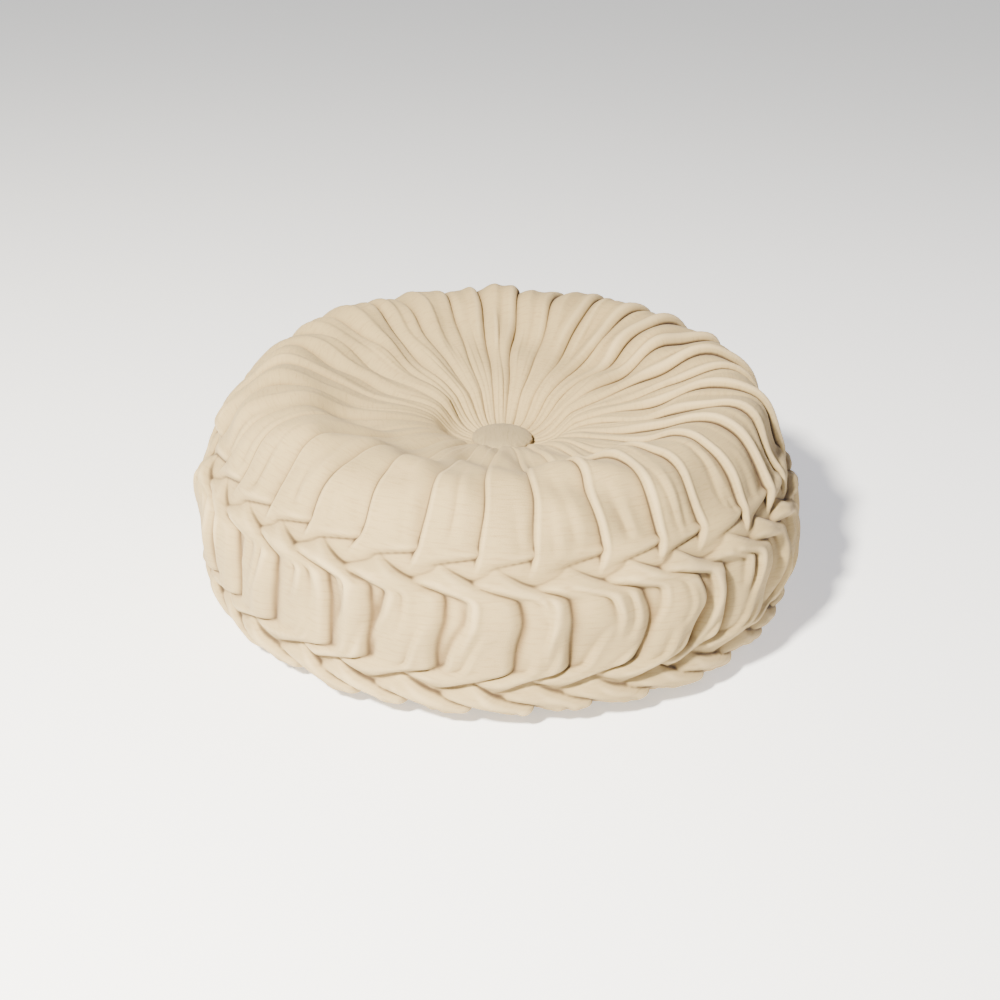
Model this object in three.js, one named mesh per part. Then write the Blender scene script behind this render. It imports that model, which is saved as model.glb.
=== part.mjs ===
// A round chair seat pad. One strip of cloth is sewn into a tube, smocked in two rows round its side,
// gathered tight at both ends and closed over a stuffed lining. A covered button is drawn into each face.
// Millimetres, +Z up, with the origin on the seat under the middle of the pad.
import * as THREE from "three";

// The stuffed pad
const padDiameter = 400;
const padHeight = 148;
const widestHeight = 61; // the filling settles, so the widest part is below the middle
const crownRadius = 140; // where the top is highest
const crownFullness = 0.5; // 0.55 is a round shoulder, and more is squarer
const lowerFullness = 0.82;
const footOuterRadius = 135; // the ring of cloth that lies flat on the seat
const footInnerRadius = 95;

// The slopes down to the two buttons
const wellWidth = 13; // round each button, where the cloth turns down steeply
const wellLean = 2;
const slopeFootReach = 26; // from a button's edge to the foot of the slope
const topSlopeFootRise = 23;
const topSlopeRise = 13;
const lowerSlopeFootRise = 14;
const lowerSlopeRise = 11;
const slopeRun = 19;
const crownRun = 40; // how far the crown runs level towards the middle
const footRun = 20;

// The smocked cloth
const pleatCount = 32;
const pleatDepth = 2;
const pleatFoldShare = 0.2; // how much of a pleat's width its fold falls away in
const upperRowHeight = 94;
const lowerRowHeight = 22;
const rowHalfWidth = 14;
const rowGrooveDepth = 4;
const rowStitchSpan = 8; // from the upper to the lower stitches of one row
const rowKink = 0.5; // how far a row pulls each fold sideways, in pleats
const gatherRadius = 9; // the hole that is left where the strip is drawn together

// Layers, from the outside in
const coverThickness = 3.2; // three folded thicknesses of cloth
const smockingThreadDiameter = 0.8;
const seamThreadDiameter = 0.8;
const gatherThreadDiameter = 1;
const liningThickness = 0.8;
const layerGap = 1.3;
const liningGap = 2; // wider, because the closing seam cuts its corners a little

// The two covered buttons and the twine between them
const buttonDiameter = 40;
const buttonThickness = 9;
const buttonDomeHeight = 3.5;
const buttonEdgeRadius = 3;
const buttonClothThickness = 0.9;
const buttonShellThickness = 0.5;
const buttonPlateThickness = 0.8;
const buttonTuckWidth = 4; // how far the cloth is turned in under the button
const topButtonFaceHeight = 105;
const bottomButtonFaceHeight = 22;
const underButtonGap = 3.5;
const shankDrop = 7;
const shankWidth = 7;
const shankFootLength = 4.5;
const shankWireDiameter = 1.2;
const shankHoleRadius = 5;
const twineDiameter = 1.6;
const twineBendRadius = 2;
const twineHoleRadius = 3.6;
const pressedGap = 0.3; // between pieces that are pressed together

// How finely the surfaces are divided
const coverColumns = 2 * pleatCount;
const liningColumns = 24;
const buttonColumns = 20;
const buttonCurveSteps = 3;
const threadSides = 5;
const wireSides = 6;

const creamCloth = new THREE.MeshStandardMaterial({ color: 0xe2d0ba, roughness: 0.92, metalness: 0 });
const buttonCloth = new THREE.MeshStandardMaterial({ color: 0xc9bda5, roughness: 0.92, metalness: 0 });
const creamThread = new THREE.MeshStandardMaterial({ color: 0xd9cbb2, roughness: 0.7, metalness: 0 });
const waxedTwine = new THREE.MeshStandardMaterial({ color: 0xe6dfcf, roughness: 0.6, metalness: 0 });
const liningCloth = new THREE.MeshStandardMaterial({ color: 0xf0ede6, roughness: 0.95, metalness: 0 });
const polyesterFibre = new THREE.MeshStandardMaterial({ color: 0xf7f7f4, roughness: 1, metalness: 0 });
const tinPlate = new THREE.MeshStandardMaterial({ color: 0xb9bbbc, roughness: 0.35, metalness: 0.9 });

const pad = new THREE.Group();

function addPiece(parent, name, geometry, material) {
  const mesh = new THREE.Mesh(geometry, material);
  mesh.name = name;
  parent.add(mesh);
  return mesh;
}

// An outline of radius and height that starts with the piece's outer side at the top, turned round the axis.
function turned(outline, columns) {
  const geometry = new THREE.LatheGeometry([...outline].reverse(), columns);
  return geometry.rotateX(Math.PI / 2);
}

// The pad's outline, from the top gather over the crown, down the side and under to the lower gather.
// Its points are radius and height.
const padRadius = padDiameter / 2;
const buttonRadius = buttonDiameter / 2;
const wellRadius = buttonRadius + wellWidth;
const slopeFootRadius = buttonRadius + slopeFootReach;
const topGatherHeight = topButtonFaceHeight - buttonThickness - underButtonGap;
const topSlopeFootHeight = topGatherHeight + topSlopeFootRise;
const lowerGatherHeight = bottomButtonFaceHeight + buttonThickness + underButtonGap;
const lowerSlopeFootHeight = lowerGatherHeight - lowerSlopeFootRise;
const outline = new THREE.Path();
const point = (radius, height) => new THREE.Vector2(radius, height);

// Adds a curve that leaves the last point towards one point and arrives from another.
function curveTo(leaving, arriving, end) {
  outline.bezierCurveTo(leaving.x, leaving.y, arriving.x, arriving.y, end.x, end.y);
  outline.updateArcLengths();
  return outline.getLength();
}

outline.moveTo(gatherRadius, topGatherHeight);
curveTo(
  point(wellRadius, topGatherHeight),
  point(wellRadius + wellLean, (topGatherHeight + topSlopeFootHeight) / 2),
  point(slopeFootRadius, topSlopeFootHeight),
);
const topLength = curveTo(
  point(slopeFootRadius + slopeRun, topSlopeFootHeight + topSlopeRise),
  point(crownRadius - crownRun, padHeight),
  point(crownRadius, padHeight),
);
const widestLength = curveTo(
  point(crownRadius + (padRadius - crownRadius) * crownFullness, padHeight),
  point(padRadius, widestHeight + (padHeight - widestHeight) * crownFullness),
  point(padRadius, widestHeight),
);
const footOuterLength = curveTo(
  point(padRadius, widestHeight * (1 - lowerFullness)),
  point(footOuterRadius + (padRadius - footOuterRadius) * lowerFullness, 0),
  point(footOuterRadius, 0),
);
outline.lineTo(footInnerRadius, 0);
outline.updateArcLengths();
const footInnerLength = outline.getLength();
curveTo(
  point(footInnerRadius - footRun, 0),
  point(slopeFootRadius + slopeRun, lowerSlopeFootHeight - lowerSlopeRise),
  point(slopeFootRadius, lowerSlopeFootHeight),
);
const outlineLength = curveTo(
  point(wellRadius + wellLean, (lowerGatherHeight + lowerSlopeFootHeight) / 2 + wellLean),
  point(wellRadius, lowerGatherHeight),
  point(gatherRadius, lowerGatherHeight),
);

// The length along the outline at which the pad's side passes a height.
function lengthAtHeight(height) {
  let above = topLength;
  let below = footOuterLength;
  while (below - above > 0.01) {
    const middle = (above + below) / 2;
    if (outline.getPointAt(middle / outlineLength).y > height) {
      above = middle;
    } else {
      below = middle;
    }
  }
  return above;
}

const upperRowLength = lengthAtHeight(upperRowHeight);
const lowerRowLength = lengthAtHeight(lowerRowHeight);

// 1 in the middle of a smocked row, falling to 0 at its edges.
function rowShare(length) {
  const away = Math.min(Math.abs(length - upperRowLength), Math.abs(length - lowerRowLength));
  return away < rowHalfWidth ? (1 + Math.cos((Math.PI * away) / rowHalfWidth)) / 2 : 0;
}

// A point of the layer that lies a given depth under the pad's surface.
function layerPoint(length, depth) {
  const share = Math.min(length / outlineLength, 1);
  const onSurface = outline.getPointAt(share);
  const along = outline.getTangentAt(share);
  const inwards = depth + rowGrooveDepth * rowShare(length);
  return point(onSurface.x + along.y * inwards, onSurface.y - along.x * inwards);
}

// The lengths at which every layer has a ring of points, so that the layers run side by side.
const seamHalfGap = seamThreadDiameter / 2 + layerGap;
const topLiningEdge = widestLength - seamHalfGap;
const bottomLiningEdge = widestLength + seamHalfGap;
const underButtonLength = buttonRadius - gatherRadius; // the cloth is nearly flat there
const stretches = [
  { to: underButtonLength, steps: 1 },
  { to: topLength, steps: 6 },
  { to: upperRowLength - rowHalfWidth, steps: 2 },
  { to: upperRowLength, steps: 1 },
  { to: upperRowLength + rowHalfWidth, steps: 1 },
  { to: topLiningEdge, steps: 1 },
  { to: bottomLiningEdge, steps: 1 },
  { to: lowerRowLength - rowHalfWidth, steps: 1 },
  { to: lowerRowLength, steps: 1 },
  { to: lowerRowLength + rowHalfWidth, steps: 1 },
  { to: footOuterLength, steps: 2 },
  { to: footInnerLength, steps: 1 },
  { to: outlineLength - underButtonLength, steps: 4 },
  { to: outlineLength, steps: 1 },
];
const ringLengths = [0];
for (const stretch of stretches) {
  const from = ringLengths[ringLengths.length - 1];
  for (let step = 1; step <= stretch.steps; step += 1) {
    ringLengths.push(from + ((stretch.to - from) * step) / stretch.steps);
  }
}

// The cover: the smocked tube of cloth, open at both gathers. Each pleat has a ridge and, just past it, the
// fold that drops to the next pleat. The ring that lies on the seat is pressed flat.
function coverGeometry() {
  const inner = ringLengths.map((length) => layerPoint(length, coverThickness));
  const outer = ringLengths.map((length) => layerPoint(length, 0)).reverse();
  const loop = [...inner, ...outer, inner[0]];
  const geometry = new THREE.LatheGeometry(loop, coverColumns);
  const position = geometry.getAttribute("position");
  const columnAngle = (2 * Math.PI) / coverColumns;
  for (let column = 0; column <= coverColumns; column += 1) {
    const isFold = column % 2 === 1;
    const foldShift = isFold ? 2 * pleatFoldShare - 1 : 0;
    ringLengths.forEach((length, ring) => {
      const onSeat = length > footOuterLength - 1 && length < footInnerLength + 1;
      const place = layerPoint(length, isFold && !onSeat ? pleatDepth : 0);
      const angle = columnAngle * (column + foldShift - 2 * rowKink * rowShare(length));
      const index = column * loop.length + inner.length + outer.length - 1 - ring;
      position.setXYZ(index, place.x * Math.sin(angle), place.y, place.x * Math.cos(angle));
    });
  }
  return geometry.rotateX(Math.PI / 2);
}

addPiece(pad, "smocked_cover", coverGeometry(), creamCloth);

// A smocking thread: a ring behind one row that steps up and down, two stitches to a pleat.
const smockingThreadDepth = coverThickness + layerGap + smockingThreadDiameter / 2;
function smockingThreadGeometry(rowLength) {
  const radius = smockingThreadDiameter / 2;
  const geometry = new THREE.TorusGeometry(padRadius, radius, threadSides, coverColumns);
  const position = geometry.getAttribute("position");
  for (let side = 0; side <= threadSides; side += 1) {
    for (let stitch = 0; stitch <= coverColumns; stitch += 1) {
      const step = stitch % 2 === 0 ? -rowStitchSpan / 2 : rowStitchSpan / 2;
      const flatDepth = rowGrooveDepth * (1 - rowShare(rowLength + step));
      const place = layerPoint(rowLength + step, smockingThreadDepth + flatDepth);
      const round = (2 * Math.PI * side) / threadSides;
      const angle = (2 * Math.PI * stitch) / coverColumns;
      const reach = place.x + radius * Math.cos(round);
      const index = side * (coverColumns + 1) + stitch;
      const height = place.y + radius * Math.sin(round);
      position.setXYZ(index, reach * Math.cos(angle), reach * Math.sin(angle), height);
    }
  }
  return geometry;
}

addPiece(pad, "upper_smocking_thread", smockingThreadGeometry(upperRowLength), creamThread);
addPiece(pad, "lower_smocking_thread", smockingThreadGeometry(lowerRowLength), creamThread);

// The gathering threads: drawn up inside the two ends of the tube.
function gatherThread(name, ringLength) {
  const radius = gatherThreadDiameter / 2;
  const ring = new THREE.TorusGeometry(gatherRadius - layerGap - radius, radius, threadSides, liningColumns);
  const thread = addPiece(pad, name, ring, creamThread);
  thread.position.z = layerPoint(ringLength, coverThickness / 2).y;
}

gatherThread("top_gather_thread", 0);
gatherThread("lower_gather_thread", outlineLength);

// A straight or bent wire or thread of round section along a curve, closed at both ends.
function roundAlong(curve, diameter, sides, steps) {
  const section = new THREE.Shape();
  for (let side = 0; side < sides; side += 1) {
    const angle = (2 * Math.PI * side) / sides;
    const across = (diameter / 2) * Math.cos(angle);
    const up = (diameter / 2) * Math.sin(angle);
    if (side === 0) {
      section.moveTo(across, up);
    } else {
      section.lineTo(across, up);
    }
  }
  section.closePath();
  return new THREE.ExtrudeGeometry(section, { steps, bevelEnabled: false, extrudePath: curve });
}

// The closing seam: joins the two ends of the strip, down the back of the pad inside the cover.
const seamThreadDepth = smockingThreadDepth + smockingThreadDiameter / 2 + layerGap + seamThreadDiameter / 2;
const seamPoints = ringLengths.map((length) => {
  const place = layerPoint(length, seamThreadDepth);
  return new THREE.Vector3(0, place.x, place.y);
});
const seamCurve = new THREE.CurvePath();
seamPoints.slice(1).forEach((end, index) => seamCurve.add(new THREE.LineCurve3(seamPoints[index], end)));
addPiece(pad, "closing_seam_thread", roundAlong(seamCurve, seamThreadDiameter, threadSides, 70), creamThread);

// The lining: two rounds of thin cloth, sewn together at the widest part round the filling.
const liningDepth = seamThreadDepth + seamThreadDiameter / 2 + liningGap;
function withTwineHole(points, holeAt) {
  const edge = new THREE.Vector2(twineHoleRadius, points[holeAt].y);
  return holeAt === 0 ? [edge, ...points] : [...points, edge];
}

function liningGeometry(isTop) {
  const isInThisHalf = (length) => (isTop ? length <= topLiningEdge : length >= bottomLiningEdge);
  const lengths = ringLengths.filter(isInThisHalf);
  const holeAt = isTop ? 0 : lengths.length - 1;
  const surfaceAt = (depth) => withTwineHole(lengths.map((length) => layerPoint(length, depth)), holeAt);
  const outer = surfaceAt(liningDepth);
  const inner = surfaceAt(liningDepth + liningThickness).reverse();
  return turned([...outer, ...inner, outer[0]], liningColumns);
}

addPiece(pad, "lining_top", liningGeometry(true), liningCloth);
addPiece(pad, "lining_bottom", liningGeometry(false), liningCloth);

const edgeSeam = layerPoint(widestLength, liningDepth + liningThickness / 2);
const edgeSeamRing = new THREE.TorusGeometry(edgeSeam.x, seamThreadDiameter / 2, threadSides, liningColumns);
addPiece(pad, "lining_edge_seam", edgeSeamRing, creamThread).position.z = edgeSeam.y;

// The filling: loose fibre, packed to the lining, with the twine's way down the middle.
const fillingDepth = liningDepth + liningThickness + layerGap;
const fillingSide = ringLengths.map((length) => layerPoint(length, fillingDepth));
const fillingWithTop = withTwineHole(fillingSide, 0);
const fillingOutline = withTwineHole(fillingWithTop, fillingWithTop.length - 1);
addPiece(pad, "fibre_filling", turned([...fillingOutline, fillingOutline[0]], liningColumns), polyesterFibre);

// Half the outline of a button's dome, from the axis to the underside of its rounded edge. Each layer of the
// button lies a depth inside the cloth's outer face.
function domePoints(depth) {
  const radius = buttonRadius - depth;
  const edge = Math.max(buttonEdgeRadius - depth, 1);
  const face = buttonThickness - depth;
  const dome = new THREE.Path();
  dome.moveTo(0, face);
  dome.quadraticCurveTo(radius * 0.6, face, radius - edge * 0.4, face - buttonDomeHeight);
  dome.quadraticCurveTo(radius, face - buttonDomeHeight - edge * 0.4, radius, face - buttonDomeHeight - edge);
  return dome.getPoints(buttonCurveSteps);
}

// One covered button, face up, with the underside of its tucked cloth at height 0.
function coveredButton(namePrefix) {
  const button = new THREE.Group();

  // Cloth, drawn over the shell and tucked in under it.
  const tuckRadius = buttonRadius - buttonTuckWidth - buttonEdgeRadius;
  const under = buttonEdgeRadius / 3;
  const clothOutside = domePoints(0);
  clothOutside.push(new THREE.Vector2(buttonRadius - under, under / 2));
  clothOutside.push(new THREE.Vector2(buttonRadius - 2 * under, 0));
  clothOutside.push(new THREE.Vector2(tuckRadius, 0));
  const clothInside = domePoints(buttonClothThickness);
  clothInside.push(new THREE.Vector2(buttonRadius - buttonClothThickness - under, buttonClothThickness));
  clothInside.push(new THREE.Vector2(tuckRadius, buttonClothThickness));
  const cloth = turned([...clothOutside, ...clothInside.reverse()], buttonColumns);
  addPiece(button, namePrefix + "_cloth", cloth, buttonCloth);

  // Shell, a pressed cap that the cloth is drawn over, open underneath.
  const shellDepth = buttonClothThickness + pressedGap;
  const shellOutside = domePoints(shellDepth);
  const shellInside = domePoints(shellDepth + buttonShellThickness);
  const shellFootRadius = buttonRadius - shellDepth - under;
  shellOutside.push(new THREE.Vector2(shellFootRadius, shellDepth));
  shellInside.push(new THREE.Vector2(shellFootRadius - buttonShellThickness, shellDepth));
  const shell = turned([...shellOutside, ...shellInside.reverse()], buttonColumns);
  addPiece(button, namePrefix + "_shell", shell, tinPlate);

  // Back plate, pressed into the shell over the tucked cloth.
  const plateRadius = shellFootRadius - buttonShellThickness - 2 * pressedGap;
  const plateTop = shellDepth + buttonPlateThickness;
  const plate = [
    new THREE.Vector2(shankHoleRadius, plateTop),
    new THREE.Vector2(plateRadius, plateTop),
    new THREE.Vector2(plateRadius, shellDepth),
    new THREE.Vector2(shankHoleRadius, shellDepth),
    new THREE.Vector2(shankHoleRadius, plateTop),
  ];
  addPiece(button, namePrefix + "_back_plate", turned(plate, buttonColumns), tinPlate);

  // Shank, a wire loop through the plate with its ends spread over the top of it.
  const half = shankWidth / 2;
  const eighth = half * Math.SQRT1_2;
  const footHeight = plateTop + pressedGap + shankWireDiameter / 2;
  const rightHalf = [
    new THREE.Vector3(0, 0, -shankDrop),
    new THREE.Vector3(eighth, 0, -shankDrop + half - eighth),
    new THREE.Vector3(half, 0, -shankDrop + half),
    new THREE.Vector3(half, 0, footHeight - shankWireDiameter),
    new THREE.Vector3(half + shankWireDiameter, 0, footHeight),
    new THREE.Vector3(half + shankFootLength, 0, footHeight),
  ];
  const leftHalf = rightHalf.slice(1).map((bend) => new THREE.Vector3(-bend.x, 0, bend.z));
  const wire = new THREE.CatmullRomCurve3([...leftHalf.reverse(), ...rightHalf], false, "centripetal");
  addPiece(button, namePrefix + "_shank", roundAlong(wire, shankWireDiameter, wireSides, 20), tinPlate);
  return button;
}

const topButton = coveredButton("top_button");
topButton.position.z = topButtonFaceHeight - buttonThickness;
pad.add(topButton);
const lowerButton = coveredButton("lower_button");
lowerButton.rotation.x = Math.PI;
lowerButton.position.z = bottomButtonFaceHeight + buttonThickness;
pad.add(lowerButton);

// The tufting twine: one loop round both shanks, which draws the buttons together.
const twineSteps = 16;
const twine = new THREE.TorusGeometry(twineBendRadius, twineDiameter / 2, wireSides, twineSteps);
twine.rotateZ(Math.PI / twineSteps).rotateY(Math.PI / 2);
const twinePosition = twine.getAttribute("position");
for (let index = 0; index < twinePosition.count; index += 1) {
  const isUpper = twinePosition.getZ(index) > 0;
  const shankHeight = isUpper ? topButton.position.z - shankDrop : lowerButton.position.z + shankDrop;
  twinePosition.setZ(index, twinePosition.getZ(index) + shankHeight);
}
addPiece(pad, "tufting_twine", twine, waxedTwine);

export default pad;
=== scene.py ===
"""A round chair seat pad in smocked cream velvet, drawn in to a covered button on each face."""
import math

import bpy
import numpy as np
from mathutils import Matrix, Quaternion, Vector


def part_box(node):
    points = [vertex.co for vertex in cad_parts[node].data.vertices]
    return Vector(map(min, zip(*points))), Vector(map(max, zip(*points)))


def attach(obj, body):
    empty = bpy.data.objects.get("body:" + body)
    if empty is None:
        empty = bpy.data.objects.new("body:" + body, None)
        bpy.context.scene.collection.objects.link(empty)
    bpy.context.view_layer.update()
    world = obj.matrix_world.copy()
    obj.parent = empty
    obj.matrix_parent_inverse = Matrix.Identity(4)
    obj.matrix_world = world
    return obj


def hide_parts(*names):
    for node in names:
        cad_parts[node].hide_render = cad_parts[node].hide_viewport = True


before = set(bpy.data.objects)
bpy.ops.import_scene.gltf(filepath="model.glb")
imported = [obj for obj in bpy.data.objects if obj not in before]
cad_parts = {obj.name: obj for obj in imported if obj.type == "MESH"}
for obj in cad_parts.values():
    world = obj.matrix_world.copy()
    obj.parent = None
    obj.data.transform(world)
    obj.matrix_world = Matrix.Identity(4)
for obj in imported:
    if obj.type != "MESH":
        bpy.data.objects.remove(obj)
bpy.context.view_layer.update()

# ---------------------------------------------------------------------------------------------------
# The camera. It stands a metre off and looks down a little on the front of the pad, and it is held
# slightly out of level.
SIGHT_ELEVATION = math.radians(26)
SIGHT_DISTANCE = 1.0
SIGHT_HEIGHT = 0.0535
SIGHT_ROLL = math.radians(2.2)
LENS_MM = 53.2

sight = Vector((0, -math.cos(SIGHT_ELEVATION), math.sin(SIGHT_ELEVATION)))
camera = bpy.data.objects.new("camera", bpy.data.cameras.new("camera"))
camera.data.lens = LENS_MM
camera.data.sensor_width = 36
camera.location = Vector((0, 0, SIGHT_HEIGHT)) + SIGHT_DISTANCE * sight
camera.rotation_mode = "QUATERNION"
camera.rotation_quaternion = sight.to_track_quat("Z", "Y") @ Quaternion((0, 0, 1), SIGHT_ROLL)
bpy.context.scene.collection.objects.link(camera)
bpy.context.scene.camera = camera

# ---------------------------------------------------------------------------------------------------
# The filling: loose polyester fibre, packed round like a cake and drawn in at the middle of both
# faces. It has settled, so the pad is widest low down and its foot is flat.
PAD_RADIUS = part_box("smocked_cover")[1].x
PAD_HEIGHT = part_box("smocked_cover")[1].z
WIDEST_HEIGHT = 0.061
CROWN_RADIUS = 0.140
CROWN_FULLNESS = 0.5
LOWER_FULLNESS = 0.82
FOOT_OUTER_RADIUS = 0.135
FOOT_INNER_RADIUS = 0.095
GATHER_RADIUS = 0.009
WELL_RADIUS = 0.033
SLOPE_RADIUS = 0.046
SLOPE_RUN = 0.019
CROWN_RUN = 0.040
TOP_GATHER_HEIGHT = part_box("top_button_cloth")[0].z - 0.0035
TOP_SLOPE_HEIGHT = TOP_GATHER_HEIGHT + 0.023
LOWER_GATHER_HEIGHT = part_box("lower_button_cloth")[1].z + 0.0035
LOWER_SLOPE_HEIGHT = LOWER_GATHER_HEIGHT - 0.014
UPPER_ROW_HEIGHT = 0.100
LOWER_ROW_HEIGHT = 0.029
FILLING_DEPTH = 0.012
FILLING_LUMPS = 0.0015

# How far the stuffing holds the cover off its even outline, or lets it sink.
BACK_RISE = 0.0045
FRONT_SINK = 0.0112
SIDE_LEAN = 0.0064
LEAN_UNEVENNESS = 0.0012
BOWL_DEPTH = 0.0090
BOWL_EXTRA_IN_FRONT = 0.0040
BOWL_RADIUS = 0.088
BAND_BULGE = 0.0015
UPPER_ROW_PULL = 0.0006
LOWER_ROW_PULL = 0.0010
HEM_BULGE = 0.0060
LIFT_AT_TOP_BUTTON = 0.0024
LIFT_AT_LOWER_BUTTON = 0.0032


def bezier(start, leaving, arriving, end, steps=60):
    """Points along a Bezier curve, without its start."""
    t = np.linspace(0, 1, steps + 1)[1:, None]
    points = [np.array(p) for p in (start, leaving, arriving, end)]
    weights = ((1 - t) ** 3, 3 * t * (1 - t) ** 2, 3 * t * t * (1 - t), t ** 3)
    return sum(w * p for w, p in zip(weights, points))


def pad_outline():
    """(radius, height) from the upper gather over the crown, down the side and under to the lower one."""
    gather = (GATHER_RADIUS, TOP_GATHER_HEIGHT)
    slope = (SLOPE_RADIUS, TOP_SLOPE_HEIGHT)
    crown = (CROWN_RADIUS, PAD_HEIGHT)
    widest = (PAD_RADIUS, WIDEST_HEIGHT)
    foot_outer = (FOOT_OUTER_RADIUS, 0.0)
    foot_inner = (FOOT_INNER_RADIUS, 0.0)
    lower_slope = (SLOPE_RADIUS, LOWER_SLOPE_HEIGHT)
    lower_gather = (GATHER_RADIUS, LOWER_GATHER_HEIGHT)
    shoulder = PAD_RADIUS - CROWN_RADIUS
    drop = PAD_HEIGHT - WIDEST_HEIGHT
    hip = PAD_RADIUS - FOOT_OUTER_RADIUS
    well_wall = (WELL_RADIUS + 0.002, (gather[1] + slope[1]) / 2)
    stretches = [
        (gather, (WELL_RADIUS, gather[1]), well_wall, slope),
        (slope, (SLOPE_RADIUS + SLOPE_RUN, slope[1] + 0.013), (CROWN_RADIUS - CROWN_RUN, PAD_HEIGHT), crown),
        (
            crown,
            (CROWN_RADIUS + shoulder * CROWN_FULLNESS, PAD_HEIGHT),
            (PAD_RADIUS, WIDEST_HEIGHT + drop * CROWN_FULLNESS),
            widest,
        ),
        (
            widest,
            (PAD_RADIUS, WIDEST_HEIGHT * (1 - LOWER_FULLNESS)),
            (FOOT_OUTER_RADIUS + hip * LOWER_FULLNESS, 0.0),
            foot_outer,
        ),
        (foot_outer, foot_outer, foot_inner, foot_inner),
        (
            foot_inner,
            (FOOT_INNER_RADIUS - 0.02, 0.0),
            (SLOPE_RADIUS + SLOPE_RUN, lower_slope[1] - 0.011),
            lower_slope,
        ),
        (
            lower_slope,
            (WELL_RADIUS + 0.002, (lower_gather[1] + lower_slope[1]) / 2 + 0.002),
            (WELL_RADIUS, lower_gather[1]),
            lower_gather,
        ),
    ]
    return np.vstack([np.array([gather])] + [bezier(*stretch) for stretch in stretches])


outline = pad_outline()
outline_length = np.concatenate([[0], np.cumsum(np.hypot(*np.diff(outline, axis=0).T))])
tangent = np.gradient(outline, outline_length, axis=0)
tangent /= np.hypot(*tangent.T)[:, None]
outward = np.stack([-tangent[:, 1], tangent[:, 0]], axis=-1)
random = np.random.default_rng(7)


def length_at(height):
    """The length along the outline at which the pad's side passes a height."""
    side = (outline[:, 0] > CROWN_RADIUS) & (outline_length < outline_length[-1] * 0.75)
    return float(np.interp(-height, -outline[side, 1], outline_length[side]))


def smooth_step(value, start, end):
    t = np.clip((value - start) / (end - start), 0, 1)
    return t * t * (3 - 2 * t)


def hump(value, middle, width):
    return np.exp(-(((value - middle) / width) ** 2))


def ripples(angle, length, count, around, wavelength):
    """Soft random unevenness about 1 high. Its waves count around turns of the pad, at most, and are
    at least a wavelength long down the outline."""
    total = 0
    for _ in range(count):
        turns = int(random.integers(0, around + 1)) * random.choice([-1, 1])
        down = 2 * math.pi * random.uniform(-1, 1) / wavelength
        total = total + np.cos(turns * angle + down * length + random.uniform(0, 2 * math.pi))
    return total / math.sqrt(count / 2)


CROWN_LENGTH = float(np.interp(CROWN_RADIUS, outline[:121, 0], outline_length[:121]))
UPPER_ROW = length_at(UPPER_ROW_HEIGHT)
LOWER_ROW = length_at(LOWER_ROW_HEIGHT)
MID_SIDE = (UPPER_ROW + LOWER_ROW) / 2
OUTLINE_END = outline_length[-1]


def settled(angle, length):
    """How far the stuffed pad stands off its outline. It is fuller at the back and sunk in front, slopes
    down to the top button like a bowl, is pulled in at the rows and bulges between and below them, and
    it closes round the buttons."""
    back = 0.5 - 0.5 * np.cos(angle + 0.35)
    front = 1 - back
    radius = np.interp(length, outline_length, outline[:, 0])
    on_top = 1 - smooth_step(length, CROWN_LENGTH - 0.03, CROWN_LENGTH + 0.02)
    on_side = smooth_step(length, CROWN_LENGTH + 0.02, CROWN_LENGTH + 0.06)
    crown = BACK_RISE * back * hump(length, CROWN_LENGTH + 0.022, 0.040)
    crown = crown - FRONT_SINK * front * hump(length, CROWN_LENGTH, 0.050)
    lean = (SIDE_LEAN + LEAN_UNEVENNESS * np.sin(angle + 0.3)) * on_side
    bowl = (BOWL_DEPTH + BOWL_EXTRA_IN_FRONT * front) * hump(radius, BOWL_RADIUS, 0.034) * on_top
    band = BAND_BULGE * hump(length, MID_SIDE, 0.026)
    rows = UPPER_ROW_PULL * hump(length, UPPER_ROW, 0.012) + LOWER_ROW_PULL * hump(length, LOWER_ROW, 0.009)
    hem = HEM_BULGE * hump(length, LOWER_ROW + 0.017, 0.013)
    at_top_button = LIFT_AT_TOP_BUTTON * hump(length, 0.012, 0.012)
    at_lower_button = LIFT_AT_LOWER_BUTTON * hump(length, OUTLINE_END - 0.008, 0.012)
    return crown - lean - bowl + band - rows + hem + at_top_button + at_lower_button


def on_the_pad(angle, length, height):
    """Points of the pad at angles round it and lengths down its outline, standing off by a height."""
    radius = np.interp(length, outline_length, outline[:, 0])
    level = np.interp(length, outline_length, outline[:, 1])
    out_r = np.interp(length, outline_length, outward[:, 0])
    out_z = np.interp(length, outline_length, outward[:, 1])
    reach = radius + height * out_r
    up = level + height * out_z
    return np.stack([reach * np.sin(angle), -reach * np.cos(angle), up], axis=-1)


def add_piece(name, verts, faces, uvs=None):
    """A smooth-shaded piece; uvs gives a point of the cloth for every vertex, in metres."""
    mesh = bpy.data.meshes.new(name)
    mesh.from_pydata(np.asarray(verts).tolist(), [], [list(face) for face in faces])
    if uvs is not None:
        index = np.zeros(len(mesh.loops), int)
        mesh.loops.foreach_get("vertex_index", index)
        layer = mesh.uv_layers.new(name="cloth")
        layer.data.foreach_set("uv", np.asarray(uvs)[index].astype(np.float32).ravel())
    mesh.polygons.foreach_set("use_smooth", [True] * len(mesh.polygons))
    mesh.update()
    piece = bpy.data.objects.new(name, mesh)
    bpy.context.scene.collection.objects.link(piece)
    return piece


def ring_faces(rows, columns):
    """Quads between rows of points; each row closes on itself."""
    row, column = np.meshgrid(np.arange(rows - 1), np.arange(columns), indexing="ij")
    after = (column + 1) % columns
    a = row * columns
    quads = np.stack([a + column, a + column + columns, a + after + columns, a + after], axis=-1)
    return quads.reshape(-1, 4)


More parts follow.
